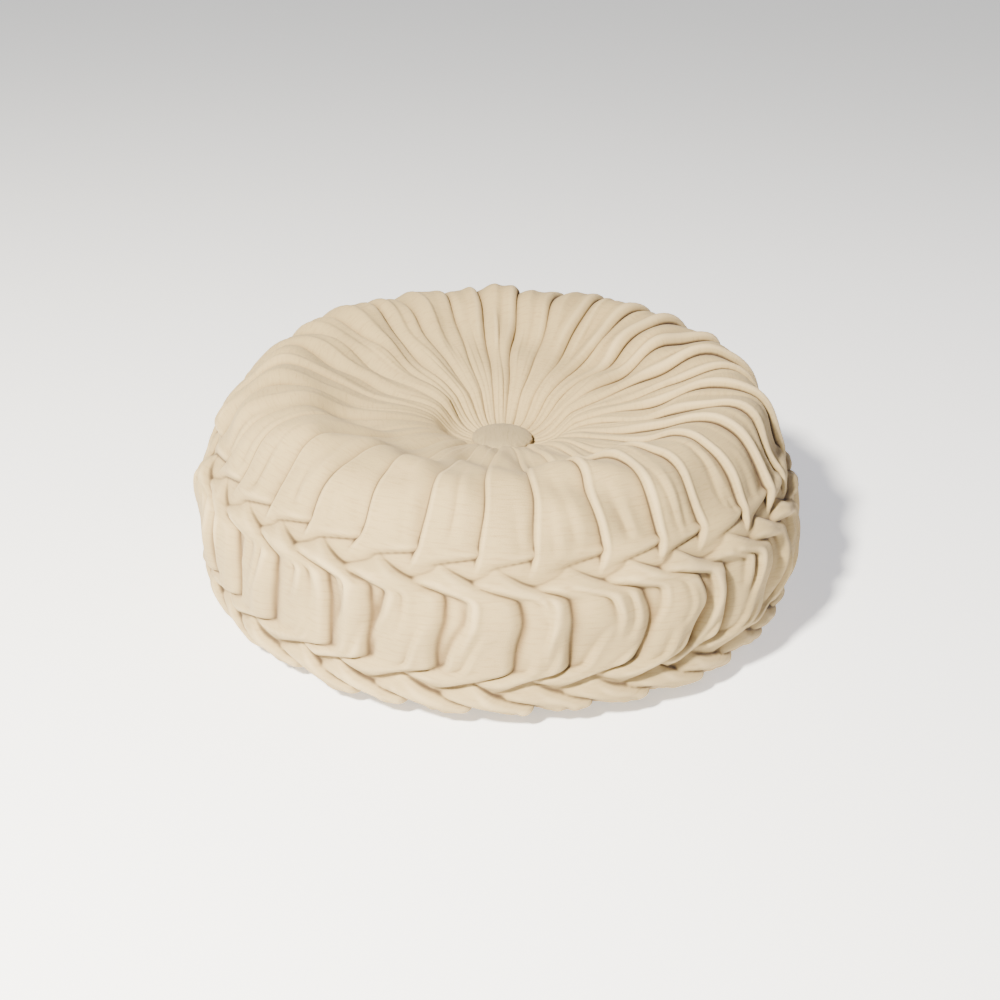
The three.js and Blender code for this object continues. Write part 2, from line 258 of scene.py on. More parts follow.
class Shade:
    """A socket of a material's nodes. Arithmetic on it adds Math nodes, and node() adds any other."""

    def __init__(self, tree, socket=None):
        self.tree = tree
        self.socket = socket

    def node(self, kind, settings, sockets, output=0):
        made = self.tree.nodes.new(kind)
        for name, value in settings.items():
            setattr(made, name, value)
        for name, value in sockets.items():
            if isinstance(value, Shade):
                self.tree.links.new(value.socket, made.inputs[name])
            else:
                made.inputs[name].default_value = value
        return Shade(self.tree, made.outputs[output])

    def maths(self, operation, *values):
        return self.node("ShaderNodeMath", {"operation": operation}, dict(enumerate(values)))

    def __add__(self, other):
        return self.maths("ADD", self, other)

    def __radd__(self, other):
        return self.maths("ADD", other, self)

    def __sub__(self, other):
        return self.maths("SUBTRACT", self, other)

    def __rsub__(self, other):
        return self.maths("SUBTRACT", other, self)

    def __mul__(self, other):
        return self.maths("MULTIPLY", self, other)

    def __rmul__(self, other):
        return self.maths("MULTIPLY", other, self)

    def between(self, low, high):
        """0 where the value is under low, 1 where it is over high, and eased between them."""
        return self.node(
            "ShaderNodeMapRange",
            {"interpolation_type": "SMOOTHSTEP"},
            {"Value": self, "From Min": low, "From Max": high},
        )

    def blend(self, first, second):
        """A colour between two, with this value as the share of the second."""
        return self.node("ShaderNodeMix", {"data_type": "RGBA"}, {0: self, 6: first, 7: second}, 2)

    def tint(self, colour, share):
        """This colour multiplied by another, by a share."""
        settings = {"data_type": "RGBA", "blend_type": "MULTIPLY"}
        return self.node("ShaderNodeMix", settings, {0: share, 6: self, 7: colour}, 2)

    def stretched(self, by):
        return self.node("ShaderNodeVectorMath", {"operation": "MULTIPLY"}, {0: self, 1: by})

    def noise(self, scale, detail=3, roughness=0.5):
        sockets = {"Vector": self, "Scale": scale, "Detail": detail, "Roughness": roughness}
        return self.node("ShaderNodeTexNoise", {}, sockets)

    def bump(self, distance, strength=1.0, under=None):
        sockets = {"Height": self, "Distance": distance, "Strength": strength}
        if under:
            sockets["Normal"] = under
        return self.node("ShaderNodeBump", {}, sockets)


def new_finish(name):
    """A material and its shading: a Shade to start from."""
    finish = bpy.data.materials.new(name)
    finish.use_nodes = True
    return finish, Shade(finish.node_tree)


def set_surface(finish, **values):
    """Values and links of the shader's sockets, named with _ for each space."""
    shader = finish.node_tree.nodes["Principled BSDF"]
    for name, value in values.items():
        socket = shader.inputs[name.replace("_", " ").title()]
        if isinstance(value, Shade):
            finish.node_tree.links.new(value.socket, socket)
        else:
            socket.default_value = value


def give_finish(finish, *nodes):
    """Puts a material on CAD nodes that stay as they are."""
    for name in nodes:
        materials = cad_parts[name].data.materials
        materials.clear()
        materials.append(finish)


def stuffed_form(depth, rows, columns, lumps):
    """The points and faces of a closed form inside the cover, at a depth under its outline."""
    spare = depth + 0.004
    length = np.linspace(spare, OUTLINE_END - spare, rows)[:, None]
    angle = np.linspace(0, 2 * math.pi, columns, endpoint=False)[None, :]
    height = settled(angle, length) - depth + lumps * ripples(angle, length, 14, 12, 0.03)
    grid = on_the_pad(angle, length, height)
    top, bottom = grid[0].mean(axis=0), grid[-1].mean(axis=0)
    verts = np.vstack([grid.reshape(-1, 3), [top, bottom]])
    faces = ring_faces(rows, columns).tolist()
    last = (rows - 1) * columns
    for column in range(columns):
        after = (column + 1) % columns
        faces.append((rows * columns, column, after))
        faces.append((rows * columns + 1, last + after, last + column))
    return verts, faces


filling = add_piece("filling", *stuffed_form(FILLING_DEPTH, 90, 128, FILLING_LUMPS))

fibre, at = new_finish("white_polyester_fibre")
place = at.node("ShaderNodeTexCoord", {}, {}, "Object")
strands = place.stretched((1, 1, 3)).noise(260, 6, 0.7)
clumps = place.noise(45, 3)
set_surface(
    fibre,
    base_color=clumps.between(0.35, 0.65).blend((0.82, 0.82, 0.80, 1), (0.90, 0.90, 0.89, 1)),
    roughness=0.95,
    sheen_weight=0.3,
    normal=strands.bump(0.002, under=clumps.bump(0.004)),
)
filling.data.materials.append(fibre)
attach(filling, "root")
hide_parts("fibre_filling")

# ---------------------------------------------------------------------------------------------------
# The lining bag that holds the fibre: a top and a bottom of thin undyed cotton, seamed together
# round the widest part with one line of thread.
LINING_DEPTH = 0.009
LINING_SEAM = length_at(WIDEST_HEIGHT)
LINING_OPENING = 0.008
SEAM_PUCKERS = 48
PUCKER_DEPTH = 0.0008
SEAM_PINCH = 0.003


def lining_half(name, start, end, rows=60, columns=160):
    """Half of the lining, drawn in along its edge seam and puckered by the stitches."""
    length = np.linspace(start, end, rows)[:, None]
    angle = np.linspace(0, 2 * math.pi, columns, endpoint=False)[None, :]
    puckers = PUCKER_DEPTH * np.cos(SEAM_PUCKERS * angle) * hump(length, LINING_SEAM, 0.012)
    height = settled(angle, length) - LINING_DEPTH + puckers
    pinch = SEAM_PINCH * hump(length, LINING_SEAM, 0.006)
    grid = on_the_pad(angle, length, height - pinch)
    cloth = np.stack(np.broadcast_arrays(angle * PAD_RADIUS, length), axis=-1)
    return add_piece(name, grid.reshape(-1, 3), ring_faces(rows, columns), cloth.reshape(-1, 2))


def woven(at, threads_per_metre, depth):
    """A plain weave over the cloth's own directions, as a bump."""
    cloth = at.node("ShaderNodeUVMap", {"uv_map": "cloth"}, {})
    sockets = {"Vector": cloth, "Scale": threads_per_metre, "Distortion": 0.6}
    warp = cloth.node("ShaderNodeTexWave", {"bands_direction": "X"}, sockets)
    weft = cloth.node("ShaderNodeTexWave", {"bands_direction": "Y"}, sockets)
    return (warp * weft).bump(depth)


calico, at = new_finish("undyed_calico")
place = at.node("ShaderNodeTexCoord", {}, {}, "Object")
set_surface(
    calico,
    base_color=place.noise(900, 4).between(0.4, 0.7).blend((0.78, 0.74, 0.66, 1), (0.70, 0.65, 0.56, 1)),
    roughness=0.9,
    normal=woven(at, 260, 0.0003),
)
lining_top = lining_half("lining_top_cloth", LINING_OPENING, LINING_SEAM)
lining_bottom = lining_half("lining_bottom_cloth", LINING_SEAM, OUTLINE_END - LINING_OPENING)
for piece, node in ((lining_top, "lining_top"), (lining_bottom, "lining_bottom")):
    piece.data.materials.append(calico)
    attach(piece, "root")
    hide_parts(node)

# ---------------------------------------------------------------------------------------------------
# The cover: one length of cream velvet in thirty-two pleats, all laid over to the same side and
# gathered to a button at both ends. Two rows of smocking stitches catch each fold to the next but
# one, so that the folds cross like a plait.
PLEATS = 32
PITCH = 2 * math.pi / PLEATS
FIRST_PLEAT = -0.20
COLUMNS_PER_PLEAT = 44
CORNER_OFFSET = 0.013
STRAP_OFFSET = 0.006
RIDGE_HEIGHT = 0.0024
FOLD_DEPTH = 0.0034
STEEPNESS = 3.5
OVERHANG = 0.0009
MOST_OVERHANG = 0.0020
# The depth and reach of the hollows that get painted shade: fine creases and broad valleys.
FURROW_DEPTH = 0.00035
FURROW_REACH = (4, 2)  # columns and rows
VALLEY_DEPTH = 0.0020
VALLEY_REACH = (70, 6)
GROUND_DEPTH = 0.0040
ROW_GROUND_RISE = 0.0046
LUMPS = 0.0013
ON_THE_FLOOR = 0.0012
SQUASHED_UNDER_IT = 0.0008
SIDE = 0.40  # how far the side's folds stand to the right of the top's, in pleats
FOOT = 0.80  # and the underside's
CREAM = (0.400, 0.290, 0.130, 1)
DEEPER_CREAM = (0.370, 0.268, 0.119, 1)
SLUB_TINT = (0.84, 0.81, 0.77, 1)
# Painted shade, darker in fine creases and in broad valleys.
PAINTED_CREASE_SHADE = (0.20, 0.155, 0.10, 1)
PAINTED_VALLEY_SHADE = (0.42, 0.35, 0.27, 1)
# A painted highlight: lighter cream on the crests.
PAINTED_HIGHLIGHT = (0.51, 0.380, 0.192, 1)


class FoldLine:
    """One family of fold edges, as points (pleats to the side, length, height), eased at the turns."""

    SPACING = 0.0008

    def __init__(self, points, ease=0.0032):
        aside, length, height = (np.array(column, float) for column in zip(*points))
        leg = np.hypot(np.diff(aside) * PITCH * PAD_RADIUS, np.diff(length))
        run = np.concatenate([[0], np.cumsum(leg)])
        fine = np.arange(0, run[-1], self.SPACING)
        reach = int(ease / self.SPACING)
        kernel = np.ones(2 * reach + 1) / (2 * reach + 1)

        def eased(values):
            values = np.interp(fine, run, values)
            for _ in range(2):
                before = 2 * values[0] - values[reach:0:-1]
                beyond = 2 * values[-1] - values[-2 : -reach - 2 : -1]
                values = np.convolve(np.concatenate([before, values, beyond]), kernel, "valid")
            return values

        self.aside = eased(aside)
        self.length = eased(length)
        self.height = eased(height)

    def at(self, length):
        return np.interp(length, self.length, self.aside)

    def height_at(self, length):
        return np.interp(length, self.length, self.height)


CORNER, STRAP = UPPER_ROW - CORNER_OFFSET, UPPER_ROW - STRAP_OFFSET
KNOT, TURN = UPPER_ROW + STRAP_OFFSET, UPPER_ROW + CORNER_OFFSET
LOW_CORNER, LOW_STRAP = LOWER_ROW - CORNER_OFFSET, LOWER_ROW - STRAP_OFFSET
LOW_KNOT, LOW_TURN = LOWER_ROW + STRAP_OFFSET, LOWER_ROW + CORNER_OFFSET
H = RIDGE_HEIGHT
top_fold = FoldLine([
    (0.00, -0.010, H),
    (0.00, CORNER, H),
    (-0.75, STRAP, H),
    (-1.27, KNOT, -0.0002),
    (-1.50, KNOT + 0.006, -0.003),
])
top_rope = FoldLine([
    (0.00, -0.010, H),
    (0.00, CORNER, H),
    (-0.15, UPPER_ROW, 0.0012),
    (-0.27, KNOT, -0.0016),
    (-0.34, KNOT + 0.006, -0.005),
])
side_fold = FoldLine([
    (-1.00, STRAP - 0.006, -0.003),
    (-0.75, STRAP, 0.0004),
    (-0.27, KNOT, H + 0.0006),
    (SIDE, TURN, H),
    (SIDE + 0.10, TURN + 0.014, H + 0.0006),
    (SIDE - 0.04, LOW_CORNER, H),
    (SIDE - 0.75, LOW_STRAP, H),
    (SIDE - 1.27, LOW_KNOT, -0.0002),
    (SIDE - 1.50, LOW_KNOT + 0.006, -0.003),
])
foot_fold = FoldLine([
    (SIDE - 1.00, LOW_STRAP - 0.006, -0.003),
    (SIDE - 0.75, LOW_STRAP, -0.0003),
    (SIDE - 0.27, LOW_KNOT, H),
    (FOOT, LOW_TURN, H),
    (FOOT, OUTLINE_END + 0.010, H),
])

# Every fold wanders a little on its way, and keeps to its own place at the rows.
fold_drift = -0.16 * np.sin(PITCH * np.arange(PLEATS))
fold_jitter = random.normal(0, 0.07, PLEATS)
wander_phase = random.uniform(0, 2 * math.pi, (PLEATS, 3))
wander_size = random.uniform(0.03, 0.12, (PLEATS, 3))


def wander(pleat, length):
    """How far a fold strays from its even place, in pleats."""
    k = pleat % PLEATS
    stray = fold_drift[k] + fold_jitter[k]
    for turn, wavelength in enumerate((0.23, 0.11, 0.055)):
        wave = np.sin(2 * math.pi * length / wavelength + wander_phase[k, turn])
        stray = stray + wander_size[k, turn] * wave / (turn + 1)
    return stray


fold_strength = random.uniform(0.75, 1.25, PLEATS)


def row_stray(angle):
    """How far the two rows of stitches stray down the pad as they go round it."""
    return 0.0042 * np.cos(angle - 0.45) - 0.0035 * np.cos(2 * angle - 0.5) + 0.0010 * np.cos(5 * angle)



# Rows of points down the cover, closer together about the rows of stitches.
to_upper_row = np.linspace(CORNER - 0.010, UPPER_ROW, 22)
top_rows = np.concatenate([np.linspace(0.0005, CORNER - 0.010, 50)[:-1], to_upper_row])
side_rows = np.linspace(UPPER_ROW, LOWER_ROW, 71)[1:]
from_lower_row = np.linspace(LOWER_ROW, LOW_TURN + 0.010, 22)[1:]
lower_rows = np.concatenate([from_lower_row, np.linspace(LOW_TURN + 0.010, OUTLINE_END - 0.0005, 50)[1:]])
length = np.concatenate([top_rows, side_rows, lower_rows])
aside = np.arange(PLEATS * COLUMNS_PER_PLEAT) / COLUMNS_PER_PLEAT - PLEATS / 2
radius = np.interp(length, outline_length, outline[:, 0])
pitch = PITCH * radius
fineness = np.clip(pitch / 0.020, 0.30, 1)
free_hem = smooth_step(length, CORNER - 0.005, CORNER + 0.002)
near_row = np.maximum(hump(length, UPPER_ROW, 0.015), hump(length, LOWER_ROW, 0.015))


def rolled(inside, roll):
    """How far the cloth has fallen at a distance inside a folded edge: it rolls over, then drops."""
    knee = roll * STEEPNESS
    past = np.clip(roll - inside, 0, None)
    return np.where(past < knee, past ** 2 / (2 * roll), knee ** 2 / (2 * roll) + STEEPNESS * (past - knee))


def distance_to(edge, a):
    """Metres from each column to an edge, square to it, positive to the right."""
    slope = np.gradient(edge, length) * pitch
    return (a[None, :] - edge[:, None]) * (pitch / np.sqrt(1 + slope ** 2))[:, None]


def columns_about(pleat):
    """The columns a panel can reach, and how far round the pad they stand, in pleats."""
    span = np.arange(int(-3.2 * COLUMNS_PER_PLEAT), int(1.8 * COLUMNS_PER_PLEAT))
    columns = span + (pleat + PLEATS // 2) * COLUMNS_PER_PLEAT
    return columns % (PLEATS * COLUMNS_PER_PLEAT), columns / COLUMNS_PER_PLEAT - PLEATS / 2


def fold_sheet(pleat, line, left_at, shape):
    """The heights of a side or a foot panel: it climbs from under its left neighbour's fold to its own
    right-hand fold, which rolls over and falls steeply to the next panel."""
    angle = PITCH * (pleat + FIRST_PLEAT)
    columns, a = columns_about(pleat)
    right = side_of(line, pleat)
    left = left_at(pleat)
    width = np.maximum(right - left, 0.05)
    across = (a[None, :] - left[:, None]) / width[:, None]
    inside = -distance_to(right, a)
    strength = shape["strength"](angle) * fold_strength[pleat % PLEATS] * (1 + 0.45 * near_row)
    ridge = line.height_at(length) * strength * fineness
    foot = ridge - FOLD_DEPTH * strength * fineness
    w = np.clip(across, 0, 1)
    height = foot[:, None] + (ridge - foot)[:, None] * w ** 0.9
    broad = np.minimum(pitch * width / 0.03, 1)[:, None]
    height = height + shape["puff"](angle) * (4 * w * (1 - w)) * broad
    for fold in shape["creases"]():
        height = height + fold(w, (width * pitch)[:, None]) * broad
    roll = (np.minimum(shape["roll"](angle), 0.22 * pitch) * (1 - 0.75 * near_row))[:, None]
    under = np.clip(-across, 0, None) * (width * pitch)[:, None]
    height = height - rolled(inside, roll) - 0.35 * under
    height[(length < line.length[0]) | (length > line.length[-1])] = -1
    return columns, height


def top_sheet(pleat, shape):
    """The heights of a top panel: a rolled rope down its left edge, laid over its neighbour, from which
    it sinks to the right under the next rope. Its lower edge is folded under, and runs to the knot."""
    angle = PITCH * (pleat - 0.5 + FIRST_PLEAT)
    columns, a = columns_about(pleat)
    left = top_rope.at(length) + pleat - 1 + wander(pleat - 1, length)
    right = side_of(top_fold, pleat)
    width = np.maximum(right - left, 0.05)
    across = (a[None, :] - left[:, None]) / width[:, None]
    strength = shape["strength"](angle) * fold_strength[pleat % PLEATS] * (1 + 0.10 * near_row)
    ridge = top_rope.height_at(length) * strength * fineness
    depth = FOLD_DEPTH * strength * fineness * (1 - 0.65 * free_hem)
    w = np.clip(across, 0, 1)
    flat = shape["flat"](angle)
    rope = np.clip(shape["rope"](angle) / (width * pitch), 0.08, 0.5)[:, None]
    sink = (1 - flat) * w ** 0.9 + flat * smooth_step(w, 0.01, rope)
    height = ridge[:, None] - depth[:, None] * sink
    broad = np.minimum(pitch * width / 0.03, 1)[:, None]
    height = height + shape["puff"](angle) * (4 * w * (1 - w)) * broad
    for fold in shape["creases"](angle):
        height = height + fold(w, (width * pitch)[:, None]) * broad
    roll = (np.minimum(shape["roll"](angle), 0.13 * pitch) * (1 - 0.5 * near_row))[:, None]
    hem = rolled(-distance_to(right, a), roll) * free_hem[:, None]
    under = np.clip(across - 1, 0, None) * (width * pitch)[:, None]
    height = height - rolled(distance_to(left, a), roll) - hem - 0.35 * under
    height[length > KNOT + 0.004] = -1
    return columns, height


def crease(start, end, size, half_width, twist=1.0, kind="fold"):
    """A crease from start to end, each (share across the panel, length). A fold has a ridge on one side
    and a furrow on the other; a gather is a ridge alone, and steeper to the left."""
    (w0, s0), (w1, s1) = start, end
    t = np.clip((length - s0) / (s1 - s0), 0, 1)
    middle = (w0 + (w1 - w0) * t ** twist)[:, None]
    fade = (np.clip(t * 5, 0, 1) * (1 - t) ** 0.5 * (t > 0) * (t < 1))[:, None]

    def height(w, width):
        off = (w - middle) * width
        if kind == "gather":
            reach = np.where(off > 0, half_width, 0.35 * half_width)
            shaped = np.exp(-((off / reach) ** 2))
        else:
            shaped = off / half_width * np.exp(0.5 - 0.5 * (off / half_width) ** 2)
        return size * fade * shaped

    return height


def top_creases(angle):
    """Gathers that spring from the button and die out on the crown, and pulls that rise from the row."""
    made = []
    around = 0.5 - 0.5 * math.cos(angle)
    for middle in (0.28, 0.62):
        far = np.interp(random.uniform(0.070, 0.125), outline[:121, 0], outline_length[:121])
        size = random.uniform(0.0016, 0.0028) * (0.7 + 0.6 * around)
        start = (middle + random.uniform(-0.08, 0.08), 0.0)
        end = (middle + random.uniform(-0.2, 0.25), far)
        made.append(crease(start, end, size, random.uniform(0.0016, 0.0028), 1.3, "gather"))
    sideways = min(1.0, 0.15 + 1.1 * abs(math.sin(0.5 * angle)) ** 1.2)
    start = (random.uniform(0.40, 0.65), random.uniform(0.000, 0.060))
    end = (random.uniform(0.35, 0.80), CORNER + random.uniform(-0.040, 0.015))
    size = random.uniform(0.0014, 0.0036) * sideways
    made.append(crease(start, end, size, random.uniform(0.0045, 0.0080), 1.0, "gather"))
    for _ in range(2):
        start = (random.uniform(0.25, 0.95), CORNER + random.uniform(-0.004, 0.004))
        end = (start[0] + random.uniform(-0.30, 0.10), CORNER - random.uniform(0.030, 0.075))
        made.append(crease(start, end, random.uniform(0.0004, 0.0011), random.uniform(0.002, 0.004)))
    return made


def side_creases():
    """Pulls that fan out of the stitches at both rows into the puffed panel."""
    made = []
    for _ in range(3):
        start = (random.uniform(0.35, 0.90), TURN - 0.009)
        end = (start[0] - random.uniform(0.0, 0.45), TURN + random.uniform(0.018, 0.042))
        made.append(crease(start, end, random.uniform(0.0008, 0.0018), random.uniform(0.0018, 0.0034), 0.8))
    for _ in range(2):
        start = (random.uniform(0.10, 0.60), LOW_CORNER + 0.009)
        end = (start[0] + random.uniform(-0.1, 0.45), LOW_CORNER - random.uniform(0.012, 0.034))
        made.append(crease(start, end, random.uniform(0.0007, 0.0015), random.uniform(0.0018, 0.0032), 0.8))
    return made


def foot_creases():
    """Pulls below the lower row, and the gathers towards the lower button."""
    made = []
    for _ in range(3):
        start = (random.uniform(0.10, 0.90), LOW_TURN - 0.010)
        end = (start[0] + random.uniform(-0.3, 0.3), LOW_TURN + random.uniform(0.015, 0.045))
        made.append(crease(start, end, random.uniform(0.0004, 0.0010), random.uniform(0.0016, 0.0030)))
    for middle in (0.33, 0.66):
        start = (middle, OUTLINE_END + 0.001)
        end = (middle + random.uniform(-0.15, 0.15), OUTLINE_END - random.uniform(0.05, 0.09))
        made.append(crease(start, end, random.uniform(0.0008, 0.0014), 0.0022, 1.3, "gather"))
    return made


def side_of(line, pleat):
    """How far round one pleat's edge of a family lies, in pleats, at every row."""
    return line.at(length) + pleat + wander(pleat, length)


def left_of_side(pleat):
    """The edge that a side panel comes out from under: a top fold, a side fold, then a foot fold."""
    low = np.where(length < LOW_STRAP, side_of(side_fold, pleat - 1), side_of(foot_fold, pleat - 1))
    return np.where(length < KNOT, side_of(top_fold, pleat), low)


def left_of_foot(pleat):
    """The same for a foot panel: a side fold, then a foot fold."""
    return np.where(length < LOW_KNOT, side_of(side_fold, pleat), side_of(foot_fold, pleat - 1))


top_shape = {
    "strength": lambda angle: 1.45 - 0.55 * math.cos(angle) + 0.45 * math.sin(angle),
    "flat": lambda angle: 0.26 - 0.16 * math.cos(angle) + 0.16 * math.sin(angle),
    "rope": lambda angle: 0.0060 - 0.0028 * math.cos(angle),
    "puff": lambda angle: 0.0026 - 0.0012 * math.cos(angle) - 0.0010 * math.sin(angle),
    "roll": lambda angle: 0.0013 - 0.0004 * math.cos(angle),
    "creases": top_creases,
}
side_shape = {
    "strength": lambda angle: 1.40 + 0.20 * math.sin(angle),
    "puff": lambda angle: 0.0032,
    "roll": lambda angle: 0.0085,
    "creases": side_creases,
}
foot_shape = {
    "strength": lambda angle: 1.6,
    "puff": lambda angle: 0.0022,
    "roll": lambda angle: 0.0022,
    "creases": foot_creases,
}

cloth_height = np.repeat((ROW_GROUND_RISE * near_row - GROUND_DEPTH)[:, None], len(aside), axis=1)
for pleat in range(-PLEATS // 2, PLEATS // 2):
    for columns, height in (
        top_sheet(pleat, top_shape),
        fold_sheet(pleat, side_fold, left_of_side, side_shape),
        fold_sheet(pleat, foot_fold, left_of_foot, foot_shape),
    ):
        cloth_height[:, columns] = np.maximum(cloth_height[:, columns], height)


def softened(field, across, along):
    """The field averaged over a few columns and rows, as thick cloth rounds its creases."""
    for reach, axis in ((across, 1), (along, 0)):
        for _ in range(reach):
            if axis:
                beside = np.roll(field, 1, 1) + np.roll(field, -1, 1)
            else:
                beside = np.vstack([field[:1], field[:-1]]) + np.vstack([field[1:], field[-1:]])
            field = 0.5 * field + 0.25 * beside
    return field


cloth_height = softened(cloth_height, 1, 1)
angle = PITCH * (aside + FIRST_PLEAT)[None, :]
in_rows = np.exp(-(((length - MID_SIDE) / 0.065) ** 4))[:, None]
down = length[:, None] + row_stray(angle) * in_rows
lumps = LUMPS * ripples(angle, down, 24, 20, 0.045)

# Where a fold falls steeply its edge is pushed out over the fall, so that the cloth hangs over it.
slope_down, slope_round = np.gradient(softened(cloth_height, 1, 0))
slope_round = slope_round / (pitch / COLUMNS_PER_PLEAT)[:, None]
slope_down = slope_down / np.gradient(length)[:, None]
mid_side = hump(length, MID_SIDE, 0.022)[:, None]
push_round = np.clip(-OVERHANG * slope_round, -MOST_OVERHANG, MOST_OVERHANG) * (1 - 0.6 * mid_side)
push_down = np.clip(-OVERHANG * slope_down, -MOST_OVERHANG, MOST_OVERHANG) * 0.7
small = np.minimum(pitch / 0.02, 1)[:, None]
push_angle = push_round * small / np.maximum(radius, 0.008)[:, None]
standing = cloth_height + lumps * small + settled(angle, down)
cover_points = on_the_pad(angle + push_angle, down + push_down * small, standing)

# What would go through the floor is squashed flat on it.
up = cover_points[..., 2]
squashed = SQUASHED_UNDER_IT * np.exp(np.minimum(up - ON_THE_FLOOR, 0) / SQUASHED_UNDER_IT)
cover_points[..., 2] = np.where(up < ON_THE_FLOOR, ON_THE_FLOOR - SQUASHED_UNDER_IT + squashed, up)

# Painted shade: the colour is darkened where the cloth lies in a furrow or a valley, and lightened on a
# crest as a painted highlight.
fine_hollow = softened(cloth_height, *FURROW_REACH) - cloth_height
furrow = softened(np.clip(fine_hollow / FURROW_DEPTH, -1, 1), 1, 1) * (1 - 0.65 * mid_side)
broad_hollow = softened(cloth_height, *VALLEY_REACH) - cloth_height
open_folds = np.clip(pitch / 0.018, 0.30, 1)[:, None]
furrow = furrow * open_folds
valley_shade = np.clip(broad_hollow / VALLEY_DEPTH, -1, 1) * open_folds
cloth_place = np.stack(np.broadcast_arrays((aside * PITCH * PAD_RADIUS)[None, :], length[:, None]), axis=-1)


def cover_part(name, first, last):
    """A piece of the cover, from one row of points to another."""
    rows = last - first
    part = cover_points[first:last].reshape(-1, 3)
    piece = add_piece(name, part, ring_faces(rows, len(aside)), cloth_place[first:last].reshape(-1, 2))
    # The painted shade masks go with the piece as attributes.
    for kind, field in (("furrow", furrow), ("valley_shade", valley_shade)):
        layer = piece.data.attributes.new(kind, "FLOAT", "POINT")
        layer.data.foreach_set("value", field[first:last].ravel().astype(np.float32))
    return piece


top_count = len(top_rows)
side_count = top_count + len(side_rows)
top_pleats = cover_part("top_pleats", 0, top_count)
side_pleats = cover_part("side_pleats", top_count - 1, side_count)
lower_pleats = cover_part("lower_pleats", side_count - 1, len(length))

velvet, at = new_finish("cream_velvet")
cloth = at.node("ShaderNodeUVMap", {"uv_map": "cloth"}, {})
place = at.node("ShaderNodeTexCoord", {}, {}, "Object")
slubs = cloth.stretched((70, 620, 1)).noise(1, 4, 0.65)
nap = place.noise(2600, 2)
cast = place.noise(14, 3)
cream = cast.between(0.35, 0.65).blend(CREAM, DEEPER_CREAM)
cream = cream.tint(SLUB_TINT, slubs.between(0.46, 0.72))
# Painted shade: darker cream in the furrows and in the broad valleys.
crease_shade = at.node("ShaderNodeAttribute", {"attribute_name": "furrow"}, {}, "Fac")
cream = cream.tint(PAINTED_CREASE_SHADE, crease_shade.between(0.20, 1.0))
low = at.node("ShaderNodeAttribute", {"attribute_name": "valley_shade"}, {}, "Fac")
cream = cream.tint(PAINTED_VALLEY_SHADE, low.between(-0.1, 1.1))
# Painted highlight: the cream is lightened where the cloth stands above its surroundings.
cream = ((crease_shade + low) * -0.5).between(0.15, 1.0).blend(cream, PAINTED_HIGHLIGHT)
set_surface(
    velvet,
    base_color=cream,
    roughness=0.88,
    sheen_weight=0.06,
    sheen_roughness=0.5,
    sheen_tint=(1.0, 0.95, 0.88, 1),
    normal=nap.bump(0.00035, under=slubs.bump(0.00025)),
)
for piece in (top_pleats, side_pleats, lower_pleats):
    piece.data.materials.append(velvet)
    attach(piece, "root")
    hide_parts("smocked_cover")

# ---------------------------------------------------------------------------------------------------
# The covered buttons, one on each face: a disc of the same velvet drawn over a domed tin cap and
# turned in under it, where a back plate with a wire shank is pressed in to hold it.
BUTTON_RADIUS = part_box("top_button_cloth")[1].x
BUTTON_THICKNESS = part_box("top_button_cloth")[1].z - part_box("top_button_cloth")[0].z
BUTTON_DOME = 0.0035
BUTTON_EDGE = 0.003
BUTTON_TUCK = 0.013
BUTTON_CLOTH = 0.0009
BUTTON_COLUMNS = 132
RIM_PUCKERS = 22
RIM_PUCKER_DEPTH = 0.00022
# The button's beige is darker than the cover's cream: painted shade for the hollow it sits in.
SHADED_BEIGE = (0.285, 0.215, 0.108, 1)
DEEPER_SHADED_BEIGE = (0.255, 0.192, 0.098, 1)


def button_cloth(name, back, up):
    """A button's cloth, with its tucked edge at the height back and its dome facing up or down."""
    shoulder = (BUTTON_RADIUS - BUTTON_EDGE * 0.4, BUTTON_THICKNESS - BUTTON_DOME)
    rim = (BUTTON_RADIUS, BUTTON_EDGE * 0.8)
    tuck = (BUTTON_TUCK, 0.0)
    centre = (0.0002, BUTTON_THICKNESS)
    dome = bezier(centre, (0.011, BUTTON_THICKNESS), (0.016, BUTTON_THICKNESS - 0.0015), shoulder, 22)
    wall = bezier(shoulder, (BUTTON_RADIUS, shoulder[1] - 0.0005), (BUTTON_RADIUS, 0.004), rim, 8)
    under = bezier(rim, (BUTTON_RADIUS, 0.0008), (BUTTON_RADIUS - 0.002, 0.0), tuck, 12)
    outside = np.vstack([[centre], dome, wall, under])
    inside = np.stack([np.minimum(outside[:, 0], BUTTON_RADIUS - BUTTON_CLOTH), outside[:, 1]], axis=-1)
    inside[:, 1] = np.clip(inside[:, 1] - BUTTON_CLOTH, BUTTON_CLOTH, None)
    outside[-1, 1] = 0.0
    profile = np.vstack([outside, inside[::-1]])
    round_it = np.linspace(0, 2 * math.pi, BUTTON_COLUMNS, endpoint=False)[None, :]
    edge = smooth_step(profile[:, 0], BUTTON_RADIUS - 0.007, BUTTON_RADIUS - 0.001)[:, None]
    pucker = RIM_PUCKER_DEPTH * edge * np.cos(RIM_PUCKERS * round_it + 0.7 * np.sin(3 * round_it))
    soft = 0.00025 * np.cos(2 * round_it + 1) * (profile[:, :1] / BUTTON_RADIUS) ** 2
    reach = profile[:, :1] + pucker
    level = back + up * (profile[:, 1:] + soft * (profile[:, 1:] > BUTTON_EDGE))
    side, front = reach * np.sin(round_it), -reach * np.cos(round_it) * up
    grid = np.stack(np.broadcast_arrays(side, front, level), axis=-1)
    faces = ring_faces(len(profile), BUTTON_COLUMNS).tolist()
    last = (len(profile) - 1) * BUTTON_COLUMNS
    faces.append(list(range(BUTTON_COLUMNS)))
    faces.append(list(range(last + BUTTON_COLUMNS - 1, last - 1, -1)))
    return add_piece(name, grid.reshape(-1, 3), faces)


